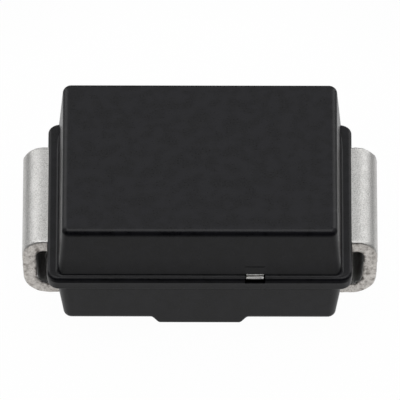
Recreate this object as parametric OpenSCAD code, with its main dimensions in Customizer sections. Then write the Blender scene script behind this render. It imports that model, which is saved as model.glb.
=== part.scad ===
// Two-lead surface-mount suppressor diode in a moulded rectangular case.
// All sizes are in millimetres. X runs along the leads, Z is up from the circuit board,
// and the origin is on the board under the middle of the upper half of the case.
// The silver tie bar end shows on the front, which is the -Y side.

/* [Case upper half] */
// Height of the case top above the circuit board
overall_height = 2.025; // [1.95:0.005:2.3]
// Length of the upper half at its foot, along the leads
upper_length = 4.28; // [4.16:0.02:4.4]
// Width of the upper half at its foot
upper_width = 3.2; // [3.06:0.02:3.26]
// How far each wall of the upper half leans in between its foot and its edge
wall_lean = 0.05; // [0.03:0.005:0.06]
// Radius of the rounded edge around the top
top_edge_radius = 0.1; // [0.05:0.005:0.105]
// Radius of the upright corners at the foot of a wall
corner_radius = 0.17; // [0.17:0.005:0.22]
// Share of the lean by which the foot of the rear wall is set in, so that it stands steeper
rear_cut = 0.8; // [0.2:0.1:0.8]

/* [Parting rim] */
// How far the rim stands out past the upper half at the lead ends
rim_end_ledge = 0.165; // [0.1:0.005:0.22]
// How far the rim stands out past the upper half on the long sides
rim_side_ledge = 0.015; // [0.015:0.005:0.12]
// Resin over the lead inside the rim
rim_cover = 0.025; // [0.01:0.005:0.06]
// Resin under the lead inside the rim
rim_under = 0.01; // [0.01:0.005:0.04]
// Radius of the rim's upper edge
rim_edge_radius = 0.05; // [0.03:0.005:0.08]
// Depth below the top of the rim of the line where the two mould halves met
parting_drop = 0.08; // [0.08:0.005:0.1]
// Radius of the rim's corners seen from above
rim_corner_radius = 0.18; // [0.12:0.01:0.26]

/* [Case lower half] */
// How far the lower half stands back from the rim at the lead ends
lower_end_ledge = 0.155; // [0.12:0.005:0.24]
// How far the lower half stands back from the rim on the long sides
lower_side_ledge = 0.025; // [0.01:0.005:0.06]
// How far each wall of the lower half leans in on its way down
lower_lean = 0.045; // [0.03:0.005:0.06]
// How much further the two ends of the lower half lean in
lower_end_cut = 0.055; // [0.03:0.005:0.07]
// Radius of the rounded edge around the underside
under_edge_radius = 0.085; // [0.04:0.005:0.09]
// How far the rim and lower half sit towards the front, where the two mould halves met
half_mismatch = 0.09; // [0:0.01:0.1]
// Gap between the underside and the soldering feet
foot_gap = 0.01; // [0.01:0.005:0.05]
// Width of the raised middle pad where it leaves the underside
pad_root_width = 1.46; // [1.2:0.02:1.6]
// Width of the middle pad at its lower face
pad_face_width = 1.18; // [0.9:0.02:1.18]
// How far the middle pad stands below the underside
pad_depth = 0.09; // [0.05:0.01:0.13]

/* [Leads] */
// Length over both leads
lead_span = 5.39; // [5.2:0.01:5.6]
// Width of the lead strip
lead_width = 1.96; // [1.9:0.02:2.2]
// Thickness of the lead strip
lead_thickness = 0.2; // [0.15:0.01:0.22]
// Height of the middle of the strip where it leaves the case
lead_level = 1.03; // [0.95:0.005:1.04]
// Inside radius of the upper bend
upper_bend_radius = 0.08; // [0.05:0.01:0.12]
// Inside radius of the lower bend
lower_bend_radius = 0.16; // [0.08:0.01:0.18]
// Length of the soldering foot, from the outside of the lead
foot_length = 1.15; // [0.9:0.05:1.5]
// How far the leads sit behind the middle of the case
lead_offset = 0.07; // [0:0.01:0.1]

/* [Tie bar] */
// Distance of the tie bar from the middle of the case, towards the right
tie_bar_place = 0.83; // [0.7:0.005:1.05]
// Width of the tie bar
tie_bar_width = 0.265; // [0.18:0.005:0.3]
// Thickness of the tie bar, pressed thinner than the strip
tie_bar_thickness = 0.08; // [0.05:0.01:0.12]
// Depth of the cut end behind the front of the rim
tie_bar_recess = 0.03; // [0.03:0.005:0.12]
// Clear space around the cut end
tie_bar_space = 0.02; // [0.01:0.005:0.04]
// Thickness of the resin lip left in front of the cut end
tie_bar_lip = 0.015; // [0.01:0.005:0.02]

/* [Inside] */
// Side of the square silicon die
die_side = 1.9; // [1.6:0.05:2]
// Thickness of the silicon die
die_thickness = 0.25; // [0.2:0.01:0.3]
// Thickness of each solder layer
solder_thickness = 0.04; // [0.02:0.005:0.06]
// How far the solder stands in from the edge of what it joins
solder_margin = 0.05; // [0.03:0.01:0.1]
// How far the die paddle reaches past the die
paddle_margin = 0.1; // [0.05:0.01:0.15]
// Width of the strip over the die
clip_width = 1.4; // [1:0.05:1.5]
// How far the strip over the die reaches past the middle
clip_reach = 0.6; // [0.4:0.05:0.8]
// Straight length of the strip inside the rim before it climbs to the die
climb_start = 0.25; // [0.2:0.01:0.3]

/* [Hidden] */
// Segments of a full circle
arc_steps = 48;
// Lead strip where it leaves the case
lead_under = lead_level - lead_thickness / 2;
lead_top = lead_level + lead_thickness / 2;
// Outside radii of the two bends
upper_outer = upper_bend_radius + lead_thickness;
lower_outer = lower_bend_radius + lead_thickness;
// Rim
rim_top = lead_top + rim_cover;
rim_under_face = lead_under - rim_under;
rim_length = upper_length + 2 * rim_end_ledge;
rim_width = upper_width + 2 * rim_side_ledge;
rim_front = rim_width / 2 + half_mismatch;
// The upper half of the case starts where the two mould halves met
parting_level = rim_top - parting_drop;
upper_rise = overall_height - parting_level;
// Lower half
lower_length = rim_length - 2 * lower_end_ledge;
lower_width = rim_width - 2 * lower_side_ledge;
underside = lead_thickness + foot_gap;
lower_rise = rim_under_face - underside;
// Stack on the die paddle, from the lead strip up
die_under = lead_top + solder_thickness;
die_top = die_under + die_thickness;
clip_under = die_top + solder_thickness;
// The strip climbs at 45 degrees to the die, so its corners shift by this much
climb = clip_under - lead_under;
climb_shift = round(10000 * lead_thickness * tan(22.5)) / 10000;
climb_foot = rim_length / 2 - climb_start;
// Solder over the die fills the part of the strip that lies on it
clip_solder_side = min(clip_width, clip_reach + die_side / 2) - 2 * solder_margin;
// Tie bar
tie_bar_end = rim_front - tie_bar_recess;

// Half section of a wall: foot on the axis line, lean, and rounded edge
module wall_section(reach, rise, lean, edge) {
    polygon([
        [0, 0],
        [reach, 0],
        [reach - lean, rise - edge],
        [reach - lean - edge, rise],
        [0, rise]
    ]);
    translate([reach - lean - edge, rise - edge])
        quarter_disc(edge);
}

// Quarter of a disc, its centre on the origin
module quarter_disc(radius) {
    intersection() {
        circle(r = radius, $fn = arc_steps);
        square(radius);
    }
}

// Half section of the rim: upright wall and rounded upper edge
module rim_section(reach, rise, edge) {
    polygon([[0, 0], [reach, 0], [reach, rise - edge], [reach - edge, rise], [0, rise]]);
    translate([reach - edge, rise - edge])
        quarter_disc(edge);
}

// Block between four walls with turned corners, for the leaning walls
module leaning_block(length, width, rise, lean, edge) {
    for (turn = [0, 1])
        rotate(90 * turn)
            rotate([90, 0, 0])
                linear_extrude((turn == 0 ? width : length) - 2 * corner_radius, center = true)
                    for (side = [0, 1])
                        mirror([side, 0])
                            wall_section((turn == 0 ? length : width) / 2, rise, lean, edge);
    for (x = [-1, 1], y = [-1, 1])
        translate([x * (length / 2 - corner_radius), y * (width / 2 - corner_radius), 0])
            rotate(x > 0 ? (y > 0 ? 0 : 270) : (y > 0 ? 90 : 180))
                rotate_extrude(angle = 90, $fn = arc_steps)
                    wall_section(corner_radius, rise, lean, edge);
}

// Block between four upright walls with turned corners, for the rim
module upright_block(length, width, rise, edge) {
    for (turn = [0, 1])
        rotate(90 * turn)
            rotate([90, 0, 0])
                linear_extrude((turn == 0 ? width : length) - 2 * rim_corner_radius, center = true)
                    for (side = [0, 1])
                        mirror([side, 0])
                            rim_section((turn == 0 ? length : width) / 2, rise, edge);
    for (x = [-1, 1], y = [-1, 1])
        translate([x * (length / 2 - rim_corner_radius), y * (width / 2 - rim_corner_radius), 0])
            rotate(x > 0 ? (y > 0 ? 0 : 270) : (y > 0 ? 90 : 180))
                rotate_extrude(angle = 90, $fn = arc_steps)
                    rim_section(rim_corner_radius, rise, edge);
}

// Outside of the case, before the metal is taken out of it
module case_form() {
    difference() {
        translate([0, 0, parting_level])
            leaning_block(upper_length, upper_width, upper_rise, wall_lean, top_edge_radius);
        rear_wedge();
    }
    translate([0, -half_mismatch, rim_under_face])
        upright_block(rim_length, rim_width, rim_top - rim_under_face, rim_edge_radius);
    difference() {
        translate([0, -half_mismatch, rim_under_face])
            mirror([0, 0, 1])
                leaning_block(lower_length, lower_width, lower_rise, lower_lean, under_edge_radius);
        end_wedges();
    }
    translate([0, -half_mismatch, underside])
        middle_pad();
}

// Wedge taken off the foot of the rear wall
module rear_wedge() {
    foot = upper_width / 2 - rear_cut * wall_lean;
    high = 0.9 * (upper_rise - top_edge_radius);
    rotate([90, 0, 90])
        linear_extrude(2 * upper_length, center = true)
            polygon([
                [foot, parting_level - wall_lean],
                [upper_width, parting_level - wall_lean],
                [upper_width, parting_level + high],
                [upper_width / 2 - 0.9 * wall_lean, parting_level + high],
                [foot, parting_level]
            ]);
}

// Wedges taken off the two ends of the lower half
module end_wedges() {
    reach = lower_length / 2;
    high = rim_under_face + 0.1 * lower_rise;
    low = underside - 0.1 * lower_rise;
    for (side = [0, 1])
        mirror([side, 0, 0])
            rotate([90, 0, 0])
                linear_extrude(2 * lower_width, center = true)
                    polygon([
                        [reach, high],
                        [reach - 1.2 * (lower_lean + lower_end_cut), low],
                        [lower_length, low],
                        [lower_length, high]
                    ]);
}

// Raised pad across the underside, between the two feet
module middle_pad() {
    rotate([90, 0, 0])
        linear_extrude(lower_width - 2 * lower_lean, center = true)
            polygon([
                [-pad_root_width / 2, 0],
                [-pad_root_width / 2, under_edge_radius],
                [pad_root_width / 2, under_edge_radius],
                [pad_root_width / 2, 0],
                [pad_face_width / 2, -pad_depth],
                [-pad_face_width / 2, -pad_depth]
            ]);
}

// Pocket in the front rim and wall around the cut end of the tie bar, open above its lip
module tie_bar_pocket() {
    pocket_width = tie_bar_width + 2 * tie_bar_space;
    pocket_back = upper_width / 2 - 4 * tie_bar_space;
    pocket_floor = lead_top - tie_bar_thickness - tie_bar_space;
    pocket_top = rim_top + tie_bar_space / 4;
    translate([tie_bar_place - pocket_width / 2, tie_bar_lip - rim_front, pocket_floor])
        cube([pocket_width, rim_front - tie_bar_lip - pocket_back, pocket_top - pocket_floor]);
    translate([tie_bar_place - pocket_width / 2, -rim_front - tie_bar_lip, parting_level])
        cube([pocket_width, rim_front + tie_bar_lip - pocket_back, pocket_top - parting_level]);
}

// Strip outside the case, on the right: over the rim, down and under as a soldering foot
module formed_strip() {
    outside = lead_span / 2;
    start = rim_length / 2 - climb_start;
    translate([start, lead_under])
        square([outside - upper_outer - start, lead_thickness]);
    translate([outside - upper_outer, lead_top - upper_outer])
        bend_ring(upper_outer);
    translate([outside - lead_thickness, lower_outer])
        square([lead_thickness, lead_top - upper_outer - lower_outer]);
    translate([outside - lower_outer, lower_outer])
        mirror([0, 1])
            bend_ring(lower_outer);
    translate([outside - foot_length, 0])
        square([foot_length - lower_outer, lead_thickness]);
}

// Quarter of a ring as thick as the strip
module bend_ring(outer) {
    difference() {
        quarter_disc(outer);
        circle(r = outer - lead_thickness, $fn = arc_steps);
    }
}

// A section in X and Z drawn out across the leads
module across(width) {
    translate([0, lead_offset, 0])
        rotate([90, 0, 0])
            linear_extrude(width, center = true)
                children();
}

// Right lead with the flat paddle that carries the die, and its tie bar to the front
module paddle_lead() {
    paddle_end = -die_side / 2 - paddle_margin;
    color([0.74, 0.74, 0.73]) {
        across(lead_width)
            formed_strip();
        across(lead_width)
            translate([paddle_end, lead_under])
                square([climb_foot - paddle_end, lead_thickness]);
        translate([tie_bar_place - tie_bar_width / 2, -tie_bar_end, lead_top - tie_bar_thickness])
            cube([tie_bar_width, tie_bar_end + lead_offset, tie_bar_thickness]);
    }
}

// Left lead that climbs inside the case and lies on top of the die
module clip_lead() {
    color([0.74, 0.74, 0.73]) {
        mirror([1, 0, 0])
            across(lead_width)
                formed_strip();
        across(clip_width)
            polygon([
                [-climb_foot, lead_under],
                [-climb_foot + climb_shift, lead_under],
                [-climb_foot + climb_shift + climb, clip_under],
                [clip_reach, clip_under],
                [clip_reach, clip_under + lead_thickness],
                [-climb_foot + climb, clip_under + lead_thickness],
                [-climb_foot, lead_top]
            ]);
    }
}

// Square die between the two leads
module silicon_die() {
    color([0.32, 0.33, 0.36])
        translate([-die_side / 2, lead_offset - die_side / 2, die_under])
            cube([die_side, die_side, die_thickness]);
}

// Solder between the paddle and the die
module die_solder() {
    side = die_side - 2 * solder_margin;
    color([0.62, 0.63, 0.65])
        translate([-side / 2, lead_offset - side / 2, lead_top])
            cube([side, side, solder_thickness]);
}

// Solder between the die and the strip over it
module clip_solder() {
    color([0.62, 0.63, 0.65])
        translate([
            clip_reach - solder_margin - clip_solder_side,
            lead_offset - clip_solder_side / 2,
            die_top
        ])
            cube([clip_solder_side, clip_solder_side, solder_thickness]);
}

// Resin case moulded around the leads, the die and its solder
module moulded_body() {
    color([0.09, 0.09, 0.095])
        difference() {
            case_form();
            paddle_lead();
            clip_lead();
            silicon_die();
            die_solder();
            clip_solder();
            tie_bar_pocket();
        }
}

moulded_body();
paddle_lead();
clip_lead();
silicon_die();
die_solder();
clip_solder();
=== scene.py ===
# %% [markdown]
# # A surface-mount suppressor diode
# The part is a black resin case, a little over five millimetres long across its two
# tinned leads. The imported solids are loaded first. They are the frame: every piece made
# here sits in the same place, in metres, and only the looks are new. The die and its two
# solder layers are sealed inside the case, so they stay the solids that they are.

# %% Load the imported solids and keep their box
import math

import bmesh
import bpy
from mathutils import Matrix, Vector


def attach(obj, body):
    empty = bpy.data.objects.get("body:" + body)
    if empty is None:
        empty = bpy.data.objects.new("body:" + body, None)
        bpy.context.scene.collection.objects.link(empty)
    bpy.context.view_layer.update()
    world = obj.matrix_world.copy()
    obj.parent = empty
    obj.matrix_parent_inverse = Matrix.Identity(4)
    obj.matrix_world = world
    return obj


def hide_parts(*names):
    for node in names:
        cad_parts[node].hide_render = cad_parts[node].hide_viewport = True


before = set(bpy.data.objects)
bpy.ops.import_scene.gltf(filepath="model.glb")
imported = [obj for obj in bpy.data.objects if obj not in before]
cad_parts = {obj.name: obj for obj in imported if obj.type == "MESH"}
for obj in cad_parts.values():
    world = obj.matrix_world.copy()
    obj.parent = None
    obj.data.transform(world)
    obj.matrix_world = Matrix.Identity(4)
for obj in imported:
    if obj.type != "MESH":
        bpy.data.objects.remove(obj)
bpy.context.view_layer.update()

# %% [markdown]
# ## Camera
# The photograph looks down at the long front side from about 47 degrees, from far
# away with a long lens: far edges are hardly shorter than near ones. A camera without
# any perspective would come close, but a long lens keeps the little that there is. It
# stands 220 mm off and sees a field six millimetres wide. The part lay a tenth of a
# degree out of level in the picture, so the camera rolls by as much.

# %% Camera at the photograph's angle, in millimetres
MM = 0.001
view_elevation = math.radians(47.5)
view_distance = 220.0
picture_pixels = 400
pixels_per_mm = 66.0
field_width = picture_pixels / pixels_per_mm
towards_camera = Vector((0, -math.cos(view_elevation), math.sin(view_elevation)))
picture_up = Vector((0, math.sin(view_elevation), math.cos(view_elevation)))
part_middle = Vector((0.003, 0, 1.0))
aim_above_middle = 0.053
aim = part_middle + aim_above_middle * picture_up
roll = math.radians(0.1)
lens = bpy.data.cameras.new("long_lens")
lens.sensor_width = 36
lens.lens = lens.sensor_width * view_distance / field_width
lens.clip_start = 0.01
lens.clip_end = 10
camera = bpy.data.objects.new("camera", lens)
camera.location = (aim + view_distance * towards_camera) * MM
camera.rotation_euler = towards_camera.to_track_quat("Z", "Y").to_euler()
camera.rotation_euler.rotate_axis("Z", roll)
bpy.context.collection.objects.link(camera)
bpy.context.scene.camera = camera
bpy.context.scene.view_settings.view_transform = "Standard"
print("lens:", round(lens.lens), "mm")


# %% [markdown]
# ## Light
# Such parts are photographed on a white table between soft boxes. A satin black surface
# has almost no colour of its own, so it shows these boxes: the flat top mirrors the wide
# box behind, the rounded top edge mirrors the one overhead as a thin bright line, and
# the corner boxes draw the light along the ends. Nothing stands in front, so the rounded
# front edges turn nearly black. Small lamps would only leave dots on such a surface, so
# every lamp here is a large rectangle that faces the part.

# %% Soft boxes, in metres
def soft_box(name, place, size, brightness):
    """A rectangle of light; its power follows from its size and from how bright it looks."""
    lamp = bpy.data.lights.new(name, "AREA")
    lamp.shape = "RECTANGLE"
    lamp.size, lamp.size_y = size
    lamp.energy = brightness * math.pi * size[0] * size[1]
    box = bpy.data.objects.new(name, lamp)
    box.location = place
    box.rotation_euler = Vector(place).to_track_quat("Z", "Y").to_euler()
    bpy.context.collection.objects.link(box)


soft_box("overhead_box", place=(0, 0.03, 0.5), size=(0.7, 0.34), brightness=2.15)
soft_box("rear_box", place=(0, 0.46, 0.46), size=(0.6, 0.5), brightness=0.74)
for side, name in ((-1, "left"), (1, "right")):
    soft_box(name + "_corner_box", place=(side * 0.38, 0.46, 0.275), size=(0.2, 0.6), brightness=1.85)
    soft_box(name + "_side_box", place=(side * 0.6, 0.1, 0.35), size=(0.5, 0.4), brightness=0.62)
room_brightness = 0.05
room = bpy.data.worlds.new("room")
room.use_nodes = True
walls = room.node_tree.nodes["Background"]
walls.inputs["Color"].default_value = (1, 1, 1, 1)
walls.inputs["Strength"].default_value = room_brightness
bpy.context.scene.world = room

# %% [markdown]
# ## Table
# The part lies on a white card on a darker table. The picture's ground is white to its
# edges, so the table glows white for the camera. More light would do the same, but it
# would also bleach the part. Mirror-like surfaces see a bright glow on the card and a dim
# one past its edge, which draws the dark line down the bend of each lead. A small share
# of the table is ordinary matt colour, which keeps a soft shadow.

# %% Flat table, in metres
half_table = 0.6
table_corners = ((-1, -1), (1, -1), (1, 1), (-1, 1))
table_mesh = bpy.data.meshes.new("table")
table_mesh.from_pydata([(x * half_table, y * half_table, 0) for x, y in table_corners], [], [(0, 1, 2, 3)])
table = bpy.data.objects.new("table", table_mesh)
bpy.context.collection.objects.link(table)
print("table:", 2 * half_table, "m square")

# %% Distance from the middle of the card
card_radius = 0.0046
card_fade = 0.002
white_table = bpy.data.materials.new("white_table")
white_table.use_nodes = True
nodes = white_table.node_tree.nodes
links = white_table.node_tree.links
distance = nodes.new("ShaderNodeVectorMath")
distance.operation = "LENGTH"
links.new(nodes.new("ShaderNodeTexCoord").outputs["Object"], distance.inputs[0])


def by_distance(on_card, past_card):
    """A value on the card that fades to another one past its edge."""
    fade = nodes.new("ShaderNodeMapRange")
    fade.inputs["From Min"].default_value = card_radius
    fade.inputs["From Max"].default_value = card_radius + card_fade
    fade.inputs["To Min"].default_value = on_card
    fade.inputs["To Max"].default_value = past_card
    links.new(distance.outputs["Value"], fade.inputs["Value"])
    return fade.outputs["Result"]


print("card radius:", 1000 * card_radius, "mm")


# %% White card on a darker table
def calculate(material, operation, first, second=None, third=None):
    """One step of arithmetic; each value is an output of another node or a plain number."""
    step = material.node_tree.nodes.new("ShaderNodeMath")
    step.operation = operation
    for i, value in enumerate((first, second, third)):
        if isinstance(value, bpy.types.NodeSocket):
            material.node_tree.links.new(value, step.inputs[i])
        elif value is not None:
            step.inputs[i].default_value = value
    return step.outputs[0]


card_white, table_grey = 0.92, 0.12
card_glow, table_glow = 0.7, 0.28
ground_white = 0.98
matt = nodes["Principled BSDF"]
matt.inputs["Roughness"].default_value = 0.9
matt.inputs["Specular IOR Level"].default_value = 0.0
links.new(by_distance(card_white, table_grey), matt.inputs["Base Color"])
glow = nodes.new("ShaderNodeEmission")
ray = nodes.new("ShaderNodeLightPath").outputs
mirrored = calculate(white_table, "MAXIMUM", ray["Is Glossy Ray"], ray["Is Transmission Ray"])
mirrored = calculate(white_table, "MULTIPLY", mirrored, by_distance(card_glow, table_glow))
seen = calculate(white_table, "MULTIPLY", ray["Is Camera Ray"], ground_white)
seen = calculate(white_table, "MAXIMUM", seen, mirrored)
mix = nodes.new("ShaderNodeMixShader")
links.new(seen, mix.inputs["Fac"])
links.new(matt.outputs[0], mix.inputs[1])
links.new(glow.outputs[0], mix.inputs[2])
links.new(mix.outputs[0], nodes["Material Output"].inputs["Surface"])
table_mesh.materials.append(white_table)
print("table finish:", white_table.name, "nodes:", len(nodes))


# %% [markdown]
# ## Grain, shared by every finish
# Moulding resin, tin plating and a sheared edge all have a fine grain. Pictures of such
# surfaces would stretch in the bends and blur close up, so the grain is worked out from
# noise. One node group makes it, which any material can use as a single node: a fine
# noise for the relief, a slow noise for clouds of tone, and a mask of small specks. Each
# finish scales it for itself. The coordinates are in metres, so the group turns them
# into millimetres first.

# %% Node group: inputs and outputs of the grain
grain = bpy.data.node_groups.new("surface_grain", "ShaderNodeTree")
grain.interface.new_socket("Vector", in_out="INPUT", socket_type="NodeSocketVector")
for name, value in (
    ("Grains per mm", 40.0),
    ("Clouds per mm", 2.0),
    ("Specks per mm", 20.0),
    ("Speck size", 0.2),
):
    socket = grain.interface.new_socket(name, in_out="INPUT", socket_type="NodeSocketFloat")
    socket.default_value = value
for name in ("Relief", "Clouds", "Specks"):
    grain.interface.new_socket(name, in_out="OUTPUT", socket_type="NodeSocketFloat")
print("group:", grain.name, "sockets:", [socket.name for socket in grain.interface.items_tree])

# %% Node group: noise and specks
entry = grain.nodes.new("NodeGroupInput")
leave = grain.nodes.new("NodeGroupOutput")
to_mm = grain.nodes.new("ShaderNodeVectorMath")
to_mm.operation = "SCALE"
to_mm.inputs["Scale"].default_value = 1000
grain.links.new(entry.outputs["Vector"], to_mm.inputs[0])
for label, size_input, detail in (("Relief", "Grains per mm", 2.0), ("Clouds", "Clouds per mm", 4.0)):
    noise = grain.nodes.new("ShaderNodeTexNoise")
    noise.inputs["Detail"].default_value = detail
    grain.links.new(to_mm.outputs[0], noise.inputs["Vector"])
    grain.links.new(entry.outputs[size_input], noise.inputs["Scale"])
    grain.links.new(noise.outputs["Fac"], leave.inputs[label])
cells = grain.nodes.new("ShaderNodeTexVoronoi")
grain.links.new(to_mm.outputs[0], cells.inputs["Vector"])
grain.links.new(entry.outputs["Specks per mm"], cells.inputs["Scale"])
dot = grain.nodes.new("ShaderNodeMapRange")
dot.interpolation_type = "SMOOTHSTEP"
dot.inputs["To Min"].default_value = 1.0
dot.inputs["To Max"].default_value = 0.0
grain.links.new(cells.outputs["Distance"], dot.inputs["Value"])
grain.links.new(entry.outputs["Speck size"], dot.inputs["From Max"])
grain.links.new(dot.outputs["Result"], leave.inputs["Specks"])
print("nodes in the group:", len(grain.nodes))


# %% [markdown]
# ## Mould resin
# The case is moulded from black resin and comes out satin. The greys in the photograph
# are reflections, a little broken by the grain of the mould. A dark grey colour would
# look alike here and wrong under other light, so the colour stays nearly black, and a
# middling roughness with a fine relief does the rest. Four small helpers build this
# finish and the next ones out of the grain.

# %% Start a finish, and let its tone follow a mask
def grained_material(name, grains, clouds, specks, speck_size):
    """A material with the grain at its own scale; gives its shader and the grain's node too."""
    material = bpy.data.materials.new(name)
    material.use_nodes = True
    place = material.node_tree.nodes.new("ShaderNodeTexCoord")
    group = material.node_tree.nodes.new("ShaderNodeGroup")
    group.node_tree = grain
    group.inputs["Grains per mm"].default_value = grains
    group.inputs["Clouds per mm"].default_value = clouds
    group.inputs["Specks per mm"].default_value = specks
    group.inputs["Speck size"].default_value = speck_size
    material.node_tree.links.new(place.outputs["Object"], group.inputs["Vector"])
    return material, material.node_tree.nodes["Principled BSDF"], group


def ramp(material, source, stops):
    """A colour or a value that follows a mask from one stop to the next."""
    node = material.node_tree.nodes.new("ShaderNodeValToRGB")
    while len(node.color_ramp.elements) < len(stops):
        node.color_ramp.elements.new(0.5)
    for element, (position, colour) in zip(node.color_ramp.elements, stops):
        element.position = position
        element.color = (*colour, 1) if isinstance(colour, tuple) else (colour, colour, colour, 1)
    material.node_tree.links.new(source, node.inputs["Fac"])
    return node.outputs["Color"]


resin, shader, group = grained_material("mould_resin", grains=38.0, clouds=5.0, specks=16.0, speck_size=0.22)
black_resin = (0.0, 0.0, 0.001)
cloudy_resin = (0.008, 0.008, 0.0108)
tone = ramp(resin, group.outputs["Clouds"], [(0.42, black_resin), (0.58, cloudy_resin)])
print("finish started:", resin.name)


# %% Lay grain and specks on the tone, and give the resin its relief
def blend(material, mask, tone, over):
    """Lays the colour `over` on a tone where the mask is white."""
    node = material.node_tree.nodes.new("ShaderNodeMix")
    node.data_type = "RGBA"
    material.node_tree.links.new(mask, node.inputs["Factor"])
    material.node_tree.links.new(tone, node.inputs["A"])
    node.inputs["B"].default_value = (*over, 1)
    return node.outputs["Result"]


def relief(material, shader, height, depth_mm, strength):
    """Lets a height mask raise and sink the shading of the surface."""
    node = material.node_tree.nodes.new("ShaderNodeBump")
    node.inputs["Distance"].default_value = depth_mm * MM
    node.inputs["Strength"].default_value = strength
    material.node_tree.links.new(height, node.inputs["Height"])
    material.node_tree.links.new(node.outputs["Normal"], shader.inputs["Normal"])


grain_tone = (0.0065, 0.0065, 0.0088)
speck_tone = (0.009, 0.009, 0.0105)
fine = ramp(resin, group.outputs["Relief"], [(0.35, 0.0), (0.65, 1.0)])
tone = blend(resin, fine, tone, grain_tone)
tone = blend(resin, group.outputs["Specks"], tone, speck_tone)
resin.node_tree.links.new(tone, shader.inputs["Base Color"])
roughness = ramp(resin, group.outputs["Relief"], [(0.3, 0.27), (0.7, 0.36)])
resin.node_tree.links.new(roughness, shader.inputs["Roughness"])
shader.inputs["Specular IOR Level"].default_value = 0.255
relief(resin, shader, group.outputs["Relief"], depth_mm=0.002, strength=0.3)
print("finish:", resin.name)


# %% [markdown]
# ## Matt tin
# The leads are plated with tin, which is matt and finely granular. Its pores show on the
# stretch beside the case and fade on the bend, so a mask follows the distance from the
# middle of the part. The inner faces of the strips and the cut tie bar are paler and
# duller. They could have a material of their own, but every strip carries its depth
# from outer to inner face as an attribute, and a mask on that is enough.

# %% Tin with its pores
def between(material, source, low, high):
    """A mask that rises from 0 to 1 while a value goes from low to high."""
    node = material.node_tree.nodes.new("ShaderNodeMapRange")
    node.interpolation_type = "SMOOTHSTEP"
    node.inputs["From Min"].default_value = low
    node.inputs["From Max"].default_value = high
    material.node_tree.links.new(source, node.inputs["Value"])
    return node.outputs["Result"]


tin, shader, group = grained_material("matt_tin", grains=60.0, clouds=6.0, specks=42.0, speck_size=0.42)
hollow_tin = (0.47, 0.464, 0.451)
raised_tin = (0.68, 0.675, 0.66)
pore_grey = (0.28, 0.275, 0.265)
pores_end, pores_full = 2.62, 2.4
pores_on_bend = 0.3
tone = ramp(tin, group.outputs["Relief"], [(0.34, hollow_tin), (0.60, raised_tin)])
position = tin.node_tree.nodes.new("ShaderNodeSeparateXYZ")
object_coordinates = group.inputs["Vector"].links[0].from_socket
tin.node_tree.links.new(object_coordinates, position.inputs[0])
from_middle = calculate(tin, "ABSOLUTE", position.outputs["X"])
near_case = between(tin, from_middle, pores_end * MM, pores_full * MM)
pores = calculate(tin, "MULTIPLY_ADD", near_case, 1 - pores_on_bend, pores_on_bend)
pores = calculate(tin, "MULTIPLY", pores, group.outputs["Specks"])
tone = blend(tin, pores, tone, pore_grey)
print("pores fade from", pores_full, "to", pores_end, "mm from the middle")


# %% Paler tin on inner faces
def depth_through_strip(material):
    """0 on the outer face of a folded strip, 1 on its inner face."""
    node = material.node_tree.nodes.new("ShaderNodeAttribute")
    node.attribute_name = "inside"
    return node.outputs["Fac"]


pale_tin = (0.9, 0.895, 0.88)
dull_tin = (0.62, 0.62, 0.62)
inner_from, inner_full = 0.95, 0.99
inner_face = between(tin, depth_through_strip(tin), inner_from, inner_full)
tone = blend(tin, inner_face, tone, pale_tin)
tin.node_tree.links.new(tone, shader.inputs["Base Color"])
roughness = ramp(tin, group.outputs["Clouds"], [(0.3, 0.36), (0.7, 0.46)])
roughness = blend(tin, inner_face, roughness, dull_tin)
tin.node_tree.links.new(roughness, shader.inputs["Roughness"])
shader.inputs["Metallic"].default_value = 1.0
relief(tin, shader, group.outputs["Relief"], depth_mm=0.004, strength=0.5)
print("finish:", tin.name)

# %% [markdown]
# ## Sheared metal
# A punch cut the strips out of sheet. It shears the first part of the thickness cleanly
# and tears the rest, so the cut sides are rougher and warmer than the tin, with dark
# pits. Along the inner edge a ragged band is painted nearly black, as painted shade under
# the burr. Such sides could be painted by hand, but clouds, specks and the depth through
# the strip give all three, one over the other, and stay in place when a bend changes.

# %% Sheared sides
sheared, shader, group = grained_material(
    "sheared_metal", grains=36.0, clouds=12.0, specks=30.0, speck_size=0.42
)
dark_shear = (0.30, 0.278, 0.255)
warm_shear = (0.60, 0.57, 0.54)
bright_shear = (0.80, 0.77, 0.73)
pit_tone = (0.34, 0.315, 0.29)
# painted shade: a ragged band along the inner edge of each cut side turns nearly black
inner_edge_shade = (0.05, 0.045, 0.04)
inner_shade_from, inner_shade_full = 0.74, 1.02
raggedness = 0.5
tone = ramp(sheared, group.outputs["Clouds"], [(0.32, dark_shear), (0.45, warm_shear), (0.70, bright_shear)])
tone = blend(sheared, group.outputs["Specks"], tone, pit_tone)
ragged_shade_mask = calculate(sheared, "MULTIPLY_ADD", group.outputs["Clouds"], -raggedness, raggedness / 2)
ragged_shade_mask = calculate(sheared, "ADD", ragged_shade_mask, depth_through_strip(sheared))
tone = blend(sheared, between(sheared, ragged_shade_mask, inner_shade_from, inner_shade_full), tone, inner_edge_shade)
sheared.node_tree.links.new(tone, shader.inputs["Base Color"])
roughness = ramp(sheared, group.outputs["Relief"], [(0.3, 0.45), (0.7, 0.6)])
sheared.node_tree.links.new(roughness, shader.inputs["Roughness"])
shader.inputs["Metallic"].default_value = 1.0
relief(sheared, shader, group.outputs["Relief"], depth_mm=0.008, strength=0.7)
print("finish:", sheared.name)

# %% [markdown]
# ## Silicon and solder
# The die is a square of silicon between two layers of solder. No side shows them, so
# their solids need no new mesh, only a finish that would be right if the case were opened.

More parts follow.
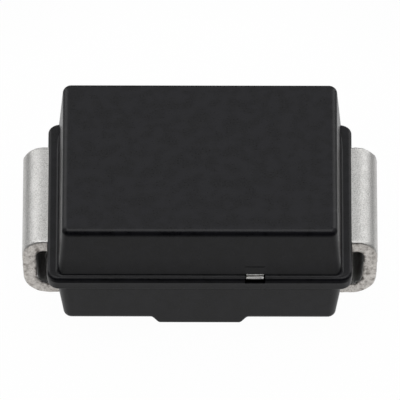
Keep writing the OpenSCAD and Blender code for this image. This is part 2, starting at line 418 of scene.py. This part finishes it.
# %% Finishes for the solids sealed inside
silicon, shader, group = grained_material("silicon", grains=20.0, clouds=1.0, specks=8.0, speck_size=0.1)
dark_silicon = (0.06, 0.065, 0.08)
pale_silicon = (0.09, 0.095, 0.11)
tone = ramp(silicon, group.outputs["Clouds"], [(0.3, dark_silicon), (0.7, pale_silicon)])
silicon.node_tree.links.new(tone, shader.inputs["Base Color"])
shader.inputs["Roughness"].default_value = 0.25
solder, shader, group = grained_material("solder", grains=18.0, clouds=3.0, specks=10.0, speck_size=0.2)
dark_solder = (0.36, 0.37, 0.39)
pale_solder = (0.46, 0.47, 0.49)
tone = ramp(solder, group.outputs["Clouds"], [(0.3, dark_solder), (0.7, pale_solder)])
solder.node_tree.links.new(tone, shader.inputs["Base Color"])
shader.inputs["Metallic"].default_value = 1.0
shader.inputs["Roughness"].default_value = 0.4
for sealed, finish in (("silicon_die", silicon), ("die_solder", solder), ("clip_solder", solder)):
    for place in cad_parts[sealed].material_slots:
        place.material = finish
print("finishes inside:", silicon.name, solder.name)


# %% [markdown]
# ## The case
# The case was moulded in one shot: a leaning upper half, a rim where the mould halves
# met, and a lower half with a raised pad across its underside. A bevelled box would come
# close, but its corners would be alike from foot to head, and these aren't. So each half
# is a loft: a stack of rounded rectangles from below to the top, joined by faces. Close
# pairs of outlines beside each rounding keep the flat walls flat in the shading. Sizes
# are in millimetres, as on a drawing of the part, and heights count from the board.

# %% Sizes of the case, in millimetres
overall_height = 2.025
parting_level = 1.075
rim_top = 1.155
rim_under_face = 0.92
underside = 0.21
upper_half = (2.147, 1.6)
rim_half = (2.305, 1.615)
lower_half = (2.15, 1.59)
wall_lean = 0.05
half_mismatch = 0.09
print("case:", 2 * rim_half[0], "mm over the rim,", overall_height, "mm high")

# %% Places of the points along the sides
# hold is how far apart a close pair of points or outlines lies
hold = 0.006
pad_root, pad_face = 0.736, 0.596
flank_margin, flank_steps = 0.03, 14
places_on_pad = [0.0, 0.25, 0.45]
places_past_pad = [1.0, 1.4]
places_on_end = [-1.25, -0.95, -0.5, 0.0, 0.5, 0.95, 1.25]


def side_stations(flat):
    """Places along a long side: its ends held close, and many across each flank of the pad."""
    flank_start = pad_face - flank_margin
    flank_width = pad_root - pad_face + 2 * flank_margin
    flank = [flank_start + i * flank_width / flank_steps for i in range(flank_steps + 1)]
    right = places_on_pad + flank + places_past_pad + [flat - hold, flat]
    return sorted({-x for x in right} | set(right))


def end_stations(flat):
    """Places along a short end, from just behind one corner to the start of the next."""
    return [hold - flat] + places_on_end + [flat - hold, flat]


stations = len(side_stations(upper_half[0]))
print("points on a long side:", stations, "and on a short one:", len(end_stations(upper_half[1])))

# %% Outline of a rounded rectangle
corner_steps = 12
least_corner = 0.004
back_start = stations + 2 * corner_steps + len(end_stations(upper_half[1])) - 1


def outline(half, corner, inset):
    """Points of one outline, counter-clockwise from the front left."""
    half_x, half_y = half[0] - inset, half[1] - inset
    corner = max(corner - inset, least_corner)
    flat_x, flat_y = half_x - corner, half_y - corner
    along = side_stations(flat_x)
    across = end_stations(flat_y)
    points = [(x, -half_y) for x in along]
    for centre_x, centre_y, start, side in (
        (flat_x, -flat_y, -90, [(half_x, y) for y in across]),
        (flat_x, flat_y, 0, [(x, half_y) for x in reversed(along[:-1])]),
        (-flat_x, flat_y, 90, [(-half_x, -y) for y in across]),
        (-flat_x, -flat_y, 180, []),
    ):
        for step in range(1, corner_steps + 1):
            turn = math.radians(start + 90 * step / corner_steps)
            points.append((centre_x + corner * math.cos(turn), centre_y + corner * math.sin(turn)))
        points += side
    points.pop()
    return points


print("points in one outline:", len(outline(rim_half, least_corner, 0)), "the back starts at:", back_start)


# %% Loft a stack of outlines into a closed shell
def close_end(shell, ring):
    """Closes an end with strips between the long sides and one face at each short side."""
    front, back = ring[:stations], ring[back_start:back_start + stations][::-1]
    for i in range(stations - 1):
        shell.faces.new((front[i], front[i + 1], back[i + 1], back[i]))
    shell.faces.new(ring[stations - 1:back_start + 1])
    shell.faces.new(ring[back_start + stations - 1:] + [ring[0]])


def loft(name, rings):
    """A closed resin shell through a stack of outlines."""
    shell = bmesh.new()
    rings = [[shell.verts.new(Vector(point) * MM) for point in ring] for ring in rings]
    count = len(rings[0])
    for lower, upper in zip(rings, rings[1:]):
        for i in range(count):
            j = (i + 1) % count
            shell.faces.new((lower[i], lower[j], upper[j], upper[i]))
    close_end(shell, rings[0])
    close_end(shell, rings[-1])
    bmesh.ops.recalc_face_normals(shell, faces=shell.faces)
    for face in shell.faces:
        face.smooth = True
    data = bpy.data.meshes.new(name)
    shell.to_mesh(data)
    shell.free()
    data.materials.append(resin)
    piece = bpy.data.objects.new(name, data)
    bpy.context.collection.objects.link(piece)
    print(name, "rings:", len(rings), "faces:", len(data.polygons))
    return piece


# %% [markdown]
# ### Upper half
# The walls lean in so that the case leaves its mould, and the corners widen from foot to
# head. At the foot a small fillet leads over into the rim. In front the foot is a sloped
# step instead, and the rear is cut back almost upright. Separate pieces would leave seams
# between these, so every point of an outline is moved between them by its place.

# %% Walls of the upper half
top_edge = 0.1
foot_corner, head_corner = 0.085, 0.13
extra_lean = (0.014, 0.005)
wall_top = overall_height - top_edge


def lean_at(height):
    """How far the walls of the upper half have leaned in at a height."""
    return wall_lean * (height - parting_level) / (wall_top - parting_level)


def upper_outline(inset, height, flare):
    """Corners tighter at the foot than at the head, which follow the rounding of the top edge."""
    climb = min((height - parting_level) / (wall_top - parting_level), 1.0)
    corner = foot_corner + (head_corner - foot_corner) * climb + min(inset, wall_lean)
    half = [size - extra * climb for size, extra in zip(upper_half, extra_lean)]
    return outline(half, corner, inset - flare)


print("walls lean in by", round(lean_at(wall_top), 3), "mm up to", wall_top, "mm")

# %% One outline of the upper half
rear_cut_foot, rear_cut_head = 0.04, 0.045
rear_foot, rear_head = upper_half[1] - rear_cut_foot, upper_half[1] - rear_cut_head
rear_head_level = 1.84
rear_flare_end, rear_flare_fade = 1.45, 0.5


def long_side_share(y, half, corner):
    """0 at the short ends of an outline, 1 along its long sides, and a smooth change between."""
    turn = min(max((abs(y) - half[1] + corner) / corner, 0.0), 1.0)
    return turn * turn


def upper_ring(inset, height, flare=0.0, front=None, tuck=0.0):
    """One outline: the flare leads over into the rim at the ends, in its own way in front,
    and not behind, where the tuck draws the wall in."""
    front_flare, front_height = front or (flare, height)
    rear = rear_foot + (rear_head - rear_foot) * (height - parting_level) / (rear_head_level - parting_level)
    rows = [upper_outline(inset, height, spread) for spread in (0, flare, front_flare)]
    ring = []
    for plain, flared, ahead in zip(*rows):
        if plain[1] < 0:
            share = long_side_share(plain[1], upper_half, foot_corner)
            point = Vector((*flared, height)).lerp(Vector((*ahead, front_height)), share)
        else:
            share = min(max((rear_flare_end - plain[1]) / rear_flare_fade, 0.0), 1.0)
            point = Vector((*plain, height)).lerp(Vector((*flared, height)), share)
        ring.append((point.x, min(point.y, rear - tuck), point.z))
    return ring


print("rear wall from", rear_foot, "mm behind the middle at the foot to", rear_head, "mm at the head")

# %% Foot of the wall
foot_fillet = 0.04
foot_start, foot_turn, foot_steps = 12, 78, 9
# each point of the front foot is a flare and a height
front_ledge = (0.056, 1.1525)
front_foot = [Vector(point) for point in ((0.046, 1.156), (0.0205, 1.1632), (0.019, 1.1765))]


def foot_point(turn):
    """Flare and height of a point on the fillet that leads from the rim up into the wall."""
    turn = math.radians(turn)
    return foot_fillet * (1 - math.sin(turn)), rim_top + foot_fillet * (1 - math.cos(turn))


def front_foot_point(share):
    """A point on the curve that leaves the first point towards the second and ends at the third."""
    ledge, bend, wall = front_foot
    return ledge.lerp(bend, share).lerp(bend.lerp(wall, share), share)


upper_rings = []
for step in range(foot_steps + 1):
    flare, height = foot_point(foot_start + foot_turn * step / foot_steps)
    if step == 0:
        front = front_ledge
        for inset in (hold, 0.0):
            upper_rings.append(upper_ring(inset, parting_level, flare, (front[0], parting_level), tuck=inset))
    else:
        front = front_foot_point((step - 1) / (foot_steps - 1))
    upper_rings.append(upper_ring(lean_at(height), height, flare, front))
print("outlines in the foot:", len(upper_rings))

# %% Wall, rounded top edge and top
plain_wall_level = 1.5
rounding_steps = 9


def arc(inset, height, radius, start, end):
    """Inset and height of points on a rounding: its centre, radius and turn in degrees."""
    for step in range(rounding_steps + 1):
        turn = math.radians(start + (end - start) * step / rounding_steps)
        yield inset - radius * math.cos(turn), height + radius * math.sin(turn)


for height in (plain_wall_level, rear_head_level, wall_top - hold):
    upper_rings.append(upper_ring(lean_at(height), height))
upper_rings += [upper_ring(*point) for point in arc(wall_lean + top_edge, wall_top, top_edge, 0, 90)]
upper_rings.append(upper_ring(wall_lean + top_edge + hold, overall_height))
case = loft("case_resin", upper_rings)

# %% [markdown]
# ### Lower half
# The lower half sits slightly towards the front, because the two mould halves were not
# quite in line. The pad across its underside has soft flanks. A box laid under the case
# would have hard ones, so the underside itself is lowered by an S-shaped share of the
# pad's depth, and its rounding tightens on the way.

# %% Underside with the pad
pad_depth, pad_edge = 0.078, 0.02
under_corner, under_edge, under_steps = 0.13, 0.1, 9
end_slant, front_slant = 0.09, 0.03
lower_foot = (lower_half[0] - end_slant, lower_half[1] - front_slant)


def pad_share(x):
    """0 beside the pad, 1 on it, and an S-shaped change across its flank."""
    share = min(max((pad_root - abs(x)) / (pad_root - pad_face), 0.0), 1.0)
    return share * share * (3 - 2 * share)


def underside_ring(turn, extra_inset=0.0):
    """One outline of the rounding under the lower half, lowered where the pad is."""
    turn = math.radians(turn)
    ring = []
    for x, y in outline(lower_foot, under_corner, under_edge * (1 - math.cos(turn)) + extra_inset):
        share = pad_share(x)
        radius = under_edge + (pad_edge - under_edge) * share
        if share:
            y = math.copysign(lower_foot[1] - radius * (1 - math.cos(turn)) - extra_inset, y)
        ring.append((x, y, underside - pad_depth * share + radius * (1 - math.sin(turn))))
    return ring


low_rings = [underside_ring(90, hold)]
low_rings += [underside_ring(90 - 90 * step / under_steps) for step in range(under_steps + 1)]
print("outlines in the underside:", len(low_rings))

# %% Lower wall, and the rim up to the parting line
lower_corner = 0.17
rim_low_edge, rim_corner, rim_lean = 0.03, 0.19, 0.013
front_parting_rise = 0.008


def rim_ring(end, front=None, rear=None):
    """One outline of the rim; inset and height may differ at the ends, in front and behind."""
    profiles = [end, front or end, rear or end]
    rows = [outline(rim_half, rim_corner, inset) for inset, height in profiles]
    ring = []
    for i, (x, y) in enumerate(outline(rim_half, rim_corner, 0)):
        side = 1 if y < 0 else 2
        share = long_side_share(y, rim_half, rim_corner)
        near, far = (*rows[0][i], end[1]), (*rows[side][i], profiles[side][1])
        ring.append(Vector(near).lerp(Vector(far), share))
    return ring


low_rings.append([(x, y, rim_under_face) for x, y in outline(lower_half, lower_corner, 0)])
low_rings.append(rim_ring((rim_lean + rim_low_edge + hold, rim_under_face)))
low_corner = arc(rim_lean + rim_low_edge, rim_under_face + rim_low_edge, rim_low_edge, -90, 0)
low_rings += [rim_ring(point) for point in low_corner]
low_rings.append(rim_ring((rim_lean, rim_under_face + rim_low_edge + hold)))
low_rings.append(rim_ring((0, parting_level), (0, parting_level + front_parting_rise)))
print("outlines up to the parting line:", len(low_rings))

# %% Rounded upper edge of the rim
end_edge, front_edge, rear_edge = 0.055, 0.06, 0.08
front_inset = 0.0695
front_start, rear_start = 22, 1
profiles = (
    arc(end_edge, rim_top - end_edge, end_edge, 0, 90),
    arc(front_inset, rim_top - front_edge, front_edge, front_start, 90),
    arc(rear_edge, rim_top - rear_edge, rear_edge, rear_start, 90),
)
low_rings += [rim_ring(end, front, rear) for end, front, rear in zip(*profiles)]
low_rings.append(rim_ring(*[(inset + hold, rim_top) for inset in (end_edge, front_inset, rear_edge)]))
lower_case = loft("lower_case", [[(x, y - half_mismatch, z) for x, y, z in ring] for ring in low_rings])


# %% [markdown]
# ## Joining the halves and cutting the pocket
# The halves are one piece of resin. They could be left to overlap, but hidden faces would
# stay inside, so a Boolean union joins them into one closed shell. On the front, right of
# the middle, a pocket was left where the tie bar was cut off, and above it the mould left
# a faint line as wide as the pocket. Their walls are flat, so boxes take both out.

# %% Union of the halves
def settle(piece):
    """Turns a piece with modifiers into a plain mesh."""
    depsgraph = bpy.context.evaluated_depsgraph_get()
    data = bpy.data.meshes.new_from_object(
        piece.evaluated_get(depsgraph), preserve_all_data_layers=True, depsgraph=depsgraph
    )
    piece.modifiers.clear()
    piece.data = data


def combine(piece, other, operation):
    """Adds another shape to a piece or takes it out, and removes that shape."""
    step = piece.modifiers.new(operation.lower(), "BOOLEAN")
    step.operation = operation
    step.solver = "EXACT"
    step.object = other
    settle(piece)
    bpy.data.objects.remove(other)


combine(case, lower_case, "UNION")
print("case faces after joining:", len(case.data.polygons))

# %% Pocket of the tie bar
lead_top = 1.13
tie_place, tie_width, tie_thickness = 0.834, 0.265, 0.08
tie_space, tie_lip = 0.02, 0.015
pocket_depth, pocket_rise = 4 * tie_space, 0.028


def cut_box(name, low_corner, high_corner):
    """Takes a box out of the case."""
    mesh = bmesh.new()
    bmesh.ops.create_cube(mesh, size=1)
    for vertex in mesh.verts:
        vertex.co = [(low_corner[i] if vertex.co[i] < 0 else high_corner[i]) * MM for i in range(3)]
    data = bpy.data.meshes.new(name)
    mesh.to_mesh(data)
    mesh.free()
    box = bpy.data.objects.new(name, data)
    bpy.context.collection.objects.link(box)
    combine(case, box, "DIFFERENCE")


rim_front = rim_half[1] + half_mismatch
left, right = tie_place - tie_width / 2 - tie_space, tie_place + tie_width / 2 + tie_space
pocket_back, pocket_top = -(upper_half[1] - pocket_depth), rim_top + pocket_rise
pocket_floor = lead_top - tie_thickness - tie_space
cut_box("pocket", (left, tie_lip - rim_front, pocket_floor), (right, pocket_back, pocket_top))
cut_box("opening", (left, -rim_front - tie_lip, parting_level), (right, pocket_back, pocket_top))
print("pocket from", round(left, 3), "to", round(right, 3), "mm right of the middle")

# %% Mould line above the pocket, and the finished case
line_level, line_depth, line_height = 1.318, 0.0105, 0.02
clear_of_wall = 0.05
sharp_angle = math.radians(19)
bulge = front_foot[2].x * (plain_wall_level - line_level) / (plain_wall_level - front_foot[2].y)
wall_there = upper_half[1] - lean_at(line_level) + bulge
line_front, line_back = -upper_half[1] - clear_of_wall, line_depth - wall_there
cut_box("mould_line", (left, line_front, line_level), (right, line_back, line_level + line_height))
case.data.set_sharp_from_angle(angle=sharp_angle)
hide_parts("moulded_body")
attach(case, "root")
print("case faces after joining and cutting:", len(case.data.polygons))

# %% [markdown]
# ## The leads
# Each lead is a flat strip that follows a path: out of the case, down, and under as a
# foot. It could be pulled out face by face, but three strips with two bends each follow
# one rule, so one tree of Geometry Nodes draws them all: a line of corner points is
# rounded at each corner by the bend radius stored on the point, and a strip section is
# drawn along it. The two sheared sides get their own finish, a slight roughness, and a
# burr along the edges, as a punch leaves it.

# %% Node tree: inputs
strip_tree = bpy.data.node_groups.new("folded_strip", "GeometryNodeTree")
strip_tree.is_modifier = True
strip_tree.interface.new_socket("Path", in_out="INPUT", socket_type="NodeSocketGeometry")
strip_inputs = {}
for name, kind in (
    ("Width", "NodeSocketFloat"),
    ("Thickness", "NodeSocketFloat"),
    ("Edge radius", "NodeSocketFloat"),
    ("Step", "NodeSocketFloat"),
    ("Tear depth", "NodeSocketFloat"),
    ("Burr height", "NodeSocketFloat"),
    ("Face finish", "NodeSocketMaterial"),
    ("Side finish", "NodeSocketMaterial"),
):
    socket = strip_tree.interface.new_socket(name, in_out="INPUT", socket_type=kind)
    strip_inputs[name] = socket.identifier
strip_tree.interface.new_socket("Strip", in_out="OUTPUT", socket_type="NodeSocketGeometry")
given = strip_tree.nodes.new("NodeGroupInput").outputs
print("tree:", strip_tree.name, "inputs:", list(strip_inputs))


# %% Node tree: the path with its bends
def outputs_of(kind, inputs=None, **settings):
    """Adds a node: settings are its own, inputs are links or plain values by name or number."""
    made = strip_tree.nodes.new(kind)
    for key, value in settings.items():
        setattr(made, key, value)
    for key, value in (inputs or {}).items():
        if isinstance(value, bpy.types.NodeSocket):
            strip_tree.links.new(value, made.inputs[key])
        else:
            made.inputs[key].default_value = value
    return made.outputs


def node(kind, inputs=None, **settings):
    """Adds a node and gives its first output."""
    return outputs_of(kind, inputs, **settings)[0]


bend_steps = 24
bend_radius = node("GeometryNodeInputRadius")
bends = {"Curve": given["Path"], "Radius": bend_radius, "Count": bend_steps, "Limit Radius": True}
path = node("GeometryNodeFilletCurve", bends, mode="POLY")
# the sweep scales its section by the path's radius, so the radius goes back to 1
path = node("GeometryNodeSetCurveRadius", {"Curve": path, "Radius": 1.0})
path = node("GeometryNodeResampleCurve", {"Curve": path, "Length": given["Step"]}, mode="LENGTH")
print("nodes for the path:", len(strip_tree.nodes))


# %% Node tree: the section and its cuts
def maths(operation, *values):
    """One step of arithmetic in the tree."""
    return node("ShaderNodeMath", dict(enumerate(values)), operation=operation)


def lies_at(direction, size):
    """1 for points on the two straight stretches that bound the section in one direction."""
    nearly_half = maths("MULTIPLY", given[size], 0.4999)
    return maths("GREATER_THAN", maths("ABSOLUTE", spot[direction]), nearly_half)


edge_steps, cuts_on_side, cuts_on_face = 4, 9.0, 36.0
section_size = {"Width": given["Width"], "Height": given["Thickness"]}
section = node("GeometryNodeCurvePrimitiveQuadrilateral", section_size)
rounding = {"Curve": section, "Radius": given["Edge radius"], "Count": edge_steps}
section = node("GeometryNodeFilletCurve", rounding, mode="POLY")
spot = outputs_of("ShaderNodeSeparateXYZ", {0: node("GeometryNodeInputPosition")})
cuts = maths("MULTIPLY", lies_at("X", "Width"), cuts_on_side)
cuts = maths("MULTIPLY_ADD", lies_at("Y", "Thickness"), cuts_on_face, cuts)
section = node("GeometryNodeSubdivideCurve", {"Curve": section, "Cuts": cuts})
print("nodes with the section:", len(strip_tree.nodes))

# %% Node tree: depth through the strip, and the sweep
inside = maths("ADD", maths("DIVIDE", spot["Y"], given["Thickness"]), 0.5)
depth = {"Geometry": section, "Name": "inside", "Value": inside}
section = node("GeometryNodeStoreNamedAttribute", depth, data_type="FLOAT")
sweep = node("GeometryNodeCurveToMesh", {"Curve": path, "Profile Curve": section, "Fill Caps": True})
print("nodes with the sweep:", len(strip_tree.nodes))

# %% Node tree: torn sides
across_part = (0, 1, 0)
side_from = 0.8
tears_per_metre, tear_detail = 16000.0, 3.0
normal = node("GeometryNodeInputNormal")
sideways = outputs_of("ShaderNodeVectorMath", {0: normal, 1: across_part}, operation="DOT_PRODUCT")["Value"]
sideways = maths("ABSOLUTE", sideways)
side_test = {"A": sideways, "B": side_from}
is_side = node("FunctionNodeCompare", side_test, data_type="FLOAT", operation="GREATER_THAN")
tear = node("ShaderNodeTexNoise", {"Scale": tears_per_metre, "Detail": tear_detail})
tear = maths("MULTIPLY", maths("SUBTRACT", tear, 0.5), given["Tear depth"])
torn = node("ShaderNodeVectorMath", {0: normal, "Scale": tear}, operation="SCALE")
shape = node("GeometryNodeSetPosition", {"Geometry": sweep, "Selection": is_side, "Offset": torn})
print("nodes with the torn sides:", len(strip_tree.nodes))

# %% Node tree: burr along the edges
edge_middle, edge_spread = 0.55, 0.35
lumps_per_metre, lump_detail = 9000.0, 2.0
lump_from, lump_full = 0.5, 0.75
edge_test = {"A": sideways, "B": edge_middle, "Epsilon": edge_spread}
is_edge = node("FunctionNodeCompare", edge_test, data_type="FLOAT", operation="EQUAL")
lump = node("ShaderNodeTexNoise", {"Scale": lumps_per_metre, "Detail": lump_detail})
lump = node("ShaderNodeMapRange", {"Value": lump, "From Min": lump_from, "From Max": lump_full})
lump = maths("MULTIPLY", lump, given["Burr height"])
burr = node("ShaderNodeVectorMath", {0: normal, "Scale": lump}, operation="SCALE")
shape = node("GeometryNodeSetPosition", {"Geometry": shape, "Selection": is_edge, "Offset": burr})
print("nodes with the burr:", len(strip_tree.nodes))

# %% Node tree: finishes
shape = node("GeometryNodeSetShadeSmooth", {"Geometry": shape})
shape = node("GeometryNodeRealizeInstances", {"Geometry": shape})
shape = node("GeometryNodeSetMaterial", {"Geometry": shape, "Material": given["Face finish"]})
side_finish = {"Geometry": shape, "Selection": is_side, "Material": given["Side finish"]}
shape = node("GeometryNodeSetMaterial", side_finish)
strip_tree.links.new(shape, strip_tree.nodes.new("NodeGroupOutput").inputs["Strip"])
print("nodes in the tree:", len(strip_tree.nodes))

# %% Draw a strip along corner points
lead_thickness = 0.22
lead_offset = 0.0645
strip_edge, strip_step = 0.034, 0.02
tear_depth, burr_height = 0.008, 0.009


def folded_strip(name, corners, width):
    """corners holds (x, z, bend radius) along the middle of the strip, in millimetres."""
    curve = bpy.data.curves.new(name, "CURVE")
    curve.dimensions = "3D"
    path = curve.splines.new("POLY")
    path.points.add(len(corners) - 1)
    for point, (x, z, radius) in zip(path.points, corners):
        point.co = (x * MM, lead_offset * MM, z * MM, 1)
        point.radius = radius * MM
    strip = bpy.data.objects.new(name + "_path", curve)
    bpy.context.collection.objects.link(strip)
    fold = strip.modifiers.new("fold", "NODES")
    fold.node_group = strip_tree
    for key, size in (
        ("Width", width),
        ("Thickness", lead_thickness),
        ("Edge radius", strip_edge),
        ("Step", strip_step),
        ("Tear depth", tear_depth),
        ("Burr height", burr_height),
    ):
        fold[strip_inputs[key]] = size * MM
    fold[strip_inputs["Face finish"]] = tin
    fold[strip_inputs["Side finish"]] = sheared
    depsgraph = bpy.context.evaluated_depsgraph_get()
    data = bpy.data.meshes.new_from_object(strip.evaluated_get(depsgraph), depsgraph=depsgraph)
    data.name = name
    bpy.data.objects.remove(strip)
    print(name, "faces:", len(data.polygons), "finishes:", [m.name for m in data.materials])
    return data


# %% Make one stamped piece of several shells
lead_reach = 2.695
outer_band = 0.01
flat_face_weight = 80


def stamping(name, meshes):
    """One piece made of several closed shells of the same stamped metal, in two finishes."""
    whole = bmesh.new()
    for data in meshes:
        whole.from_mesh(data)
    bmesh.ops.recalc_face_normals(whole, faces=whole.faces)
    for face in whole.faces:
        face.smooth = True
    data = bpy.data.meshes.new(name)
    whole.to_mesh(data)
    whole.free()
    data.materials.append(tin)
    data.materials.append(sheared)
    piece = bpy.data.objects.new(name, data)
    bpy.context.collection.objects.link(piece)
    piece.modifiers.new("flat_faces", "WEIGHTED_NORMAL").weight = flat_face_weight
    settle(piece)
    # the board presses a burr under a foot flat
    for vertex in piece.data.vertices:
        vertex.co.z = max(vertex.co.z, 0)
    outer_face = (lead_reach - outer_band) * MM
    depth_at = piece.data.attributes["inside"].data
    depths = [depth_at[v.index].value for v in piece.data.vertices if abs(v.co.x) > outer_face]
    print(name, "depth on the outer face:", round(sum(depths) / len(depths), 2))
    return piece


print("finishes of a stamping:", tin.name, sheared.name)

# %% [markdown]
# ### Tie bar
# The tie bar held the right lead in its strip of parts while the resin set, and was cut
# off in the pocket. Only its flat end shows, with the score of the cutting tool across
# it. A plain box would do from afar, but the slot under the lifted edge catches the
# light. So the bar's side view is drawn point by point, each with its place from front
# to back and its height, and given the width of the bar.

# %% Side view of the tie bar, in millimetres
bar_root = -0.6
bar_low = lead_top - tie_thickness
under_end = [(-1.6, bar_low), (-1.64, 1.11)]
cut_end = [(-1.659, 1.131), (-1.659, 1.139), (-1.637, 1.1575), (-1.63, lead_top)]
slot = [(-1.575, lead_top), (-1.575, 1.158)]
lifted_edge = [(-1.617, 1.1715), (-1.602, 1.1805), (-1.58, 1.165), (-1.565, lead_top)]
side_view = [(bar_root, bar_low)] + under_end + cut_end + slot + lifted_edge + [(bar_root, lead_top)]
print("points in the side view:", len(side_view))

# %% Tie bar
bar_bevel = 0.0025
bar = bmesh.new()
bar_ends = []
for x in (tie_place - tie_width / 2, tie_place + tie_width / 2):
    bar_ends.append([bar.verts.new((x * MM, y * MM, z * MM)) for y, z in side_view])
for end in bar_ends:
    bar.faces.new(end)
for i in range(len(side_view)):
    j = (i + 1) % len(side_view)
    bar.faces.new((bar_ends[0][i], bar_ends[0][j], bar_ends[1][j], bar_ends[1][i]))
bmesh.ops.recalc_face_normals(bar, faces=bar.faces)
bmesh.ops.bevel(bar, geom=bar.edges[:], offset=bar_bevel * MM, segments=2, profile=0.5, affect="EDGES")
tie_bar = bpy.data.meshes.new("tie_bar")
bar.to_mesh(tie_bar)
bar.free()
fresh_cut = tie_bar.attributes.new("inside", "FLOAT", "POINT")
fresh_cut.data.foreach_set("value", [1.0] * len(tie_bar.vertices))
print("tie bar faces:", len(tie_bar.polygons))

# %% [markdown]
# ### Right lead
# The right lead runs on inside the case as the flat paddle that carries the die. Its
# path is a line of four corner points, and the tree above does the rest. The tie bar is
# of the same sheet, so both are one piece.

# %% Right lead
lead_width = 1.971
lead_level = lead_top - lead_thickness / 2
foot_length = 1.15
upper_inner_bend, lower_inner_bend = 0.1, 0.16
upper_bend = upper_inner_bend + lead_thickness / 2
lower_bend = lower_inner_bend + lead_thickness / 2
leg_lean = 0.04
paddle_end = -1.05
right_extra_reach = 0.006


def outside_corners(reach):
    """The corner points outside the case: over the leg, under the leg and the end of the foot."""
    leg = reach - lead_thickness / 2
    return [
        (leg, lead_level, upper_bend),
        (leg - leg_lean, lead_thickness / 2, lower_bend),
        (lead_reach - foot_length, lead_thickness / 2, 0),
    ]


right_corners = [(paddle_end, lead_level, 0)] + outside_corners(lead_reach + right_extra_reach)
right_strip = folded_strip("right_strip", right_corners, lead_width)
right_lead = stamping("right_lead", [right_strip, tie_bar])
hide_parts("paddle_lead")
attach(right_lead, "root")

# %% [markdown]
# ### Left lead
# Outside the case the left lead is the right one's mirror image, but for a few thousandths
# of a millimetre. Inside, a narrower strip of the same sheet climbs and lies on the die.
# A change of width along one path would need a section that changes too, so the two
# widths are two strips that meet in the case.

# %% Left lead with the strip that climbs onto the die
left_start = -2.055
clip_width, clip_bend = 1.4, 0.1
clip_start, clip_turn, clip_end = -2.1, -2.02, 0.6
clip_underside = 1.46
clip_level = clip_underside + lead_thickness / 2
climb = clip_level - lead_level
left_corners = [(left_start, lead_level, 0)]
left_corners += [(-x, z, radius) for x, z, radius in outside_corners(lead_reach)]
clip_corners = [
    (clip_start, lead_level, 0),
    (clip_turn, lead_level, clip_bend),
    (clip_turn + climb, clip_level, clip_bend),
    (clip_end, clip_level, 0),
]
left_strip = folded_strip("left_strip", left_corners, lead_width)
left_lead = stamping("left_lead", [left_strip, folded_strip("clip_strip", clip_corners, clip_width)])
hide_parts("clip_lead")
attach(left_lead, "root")
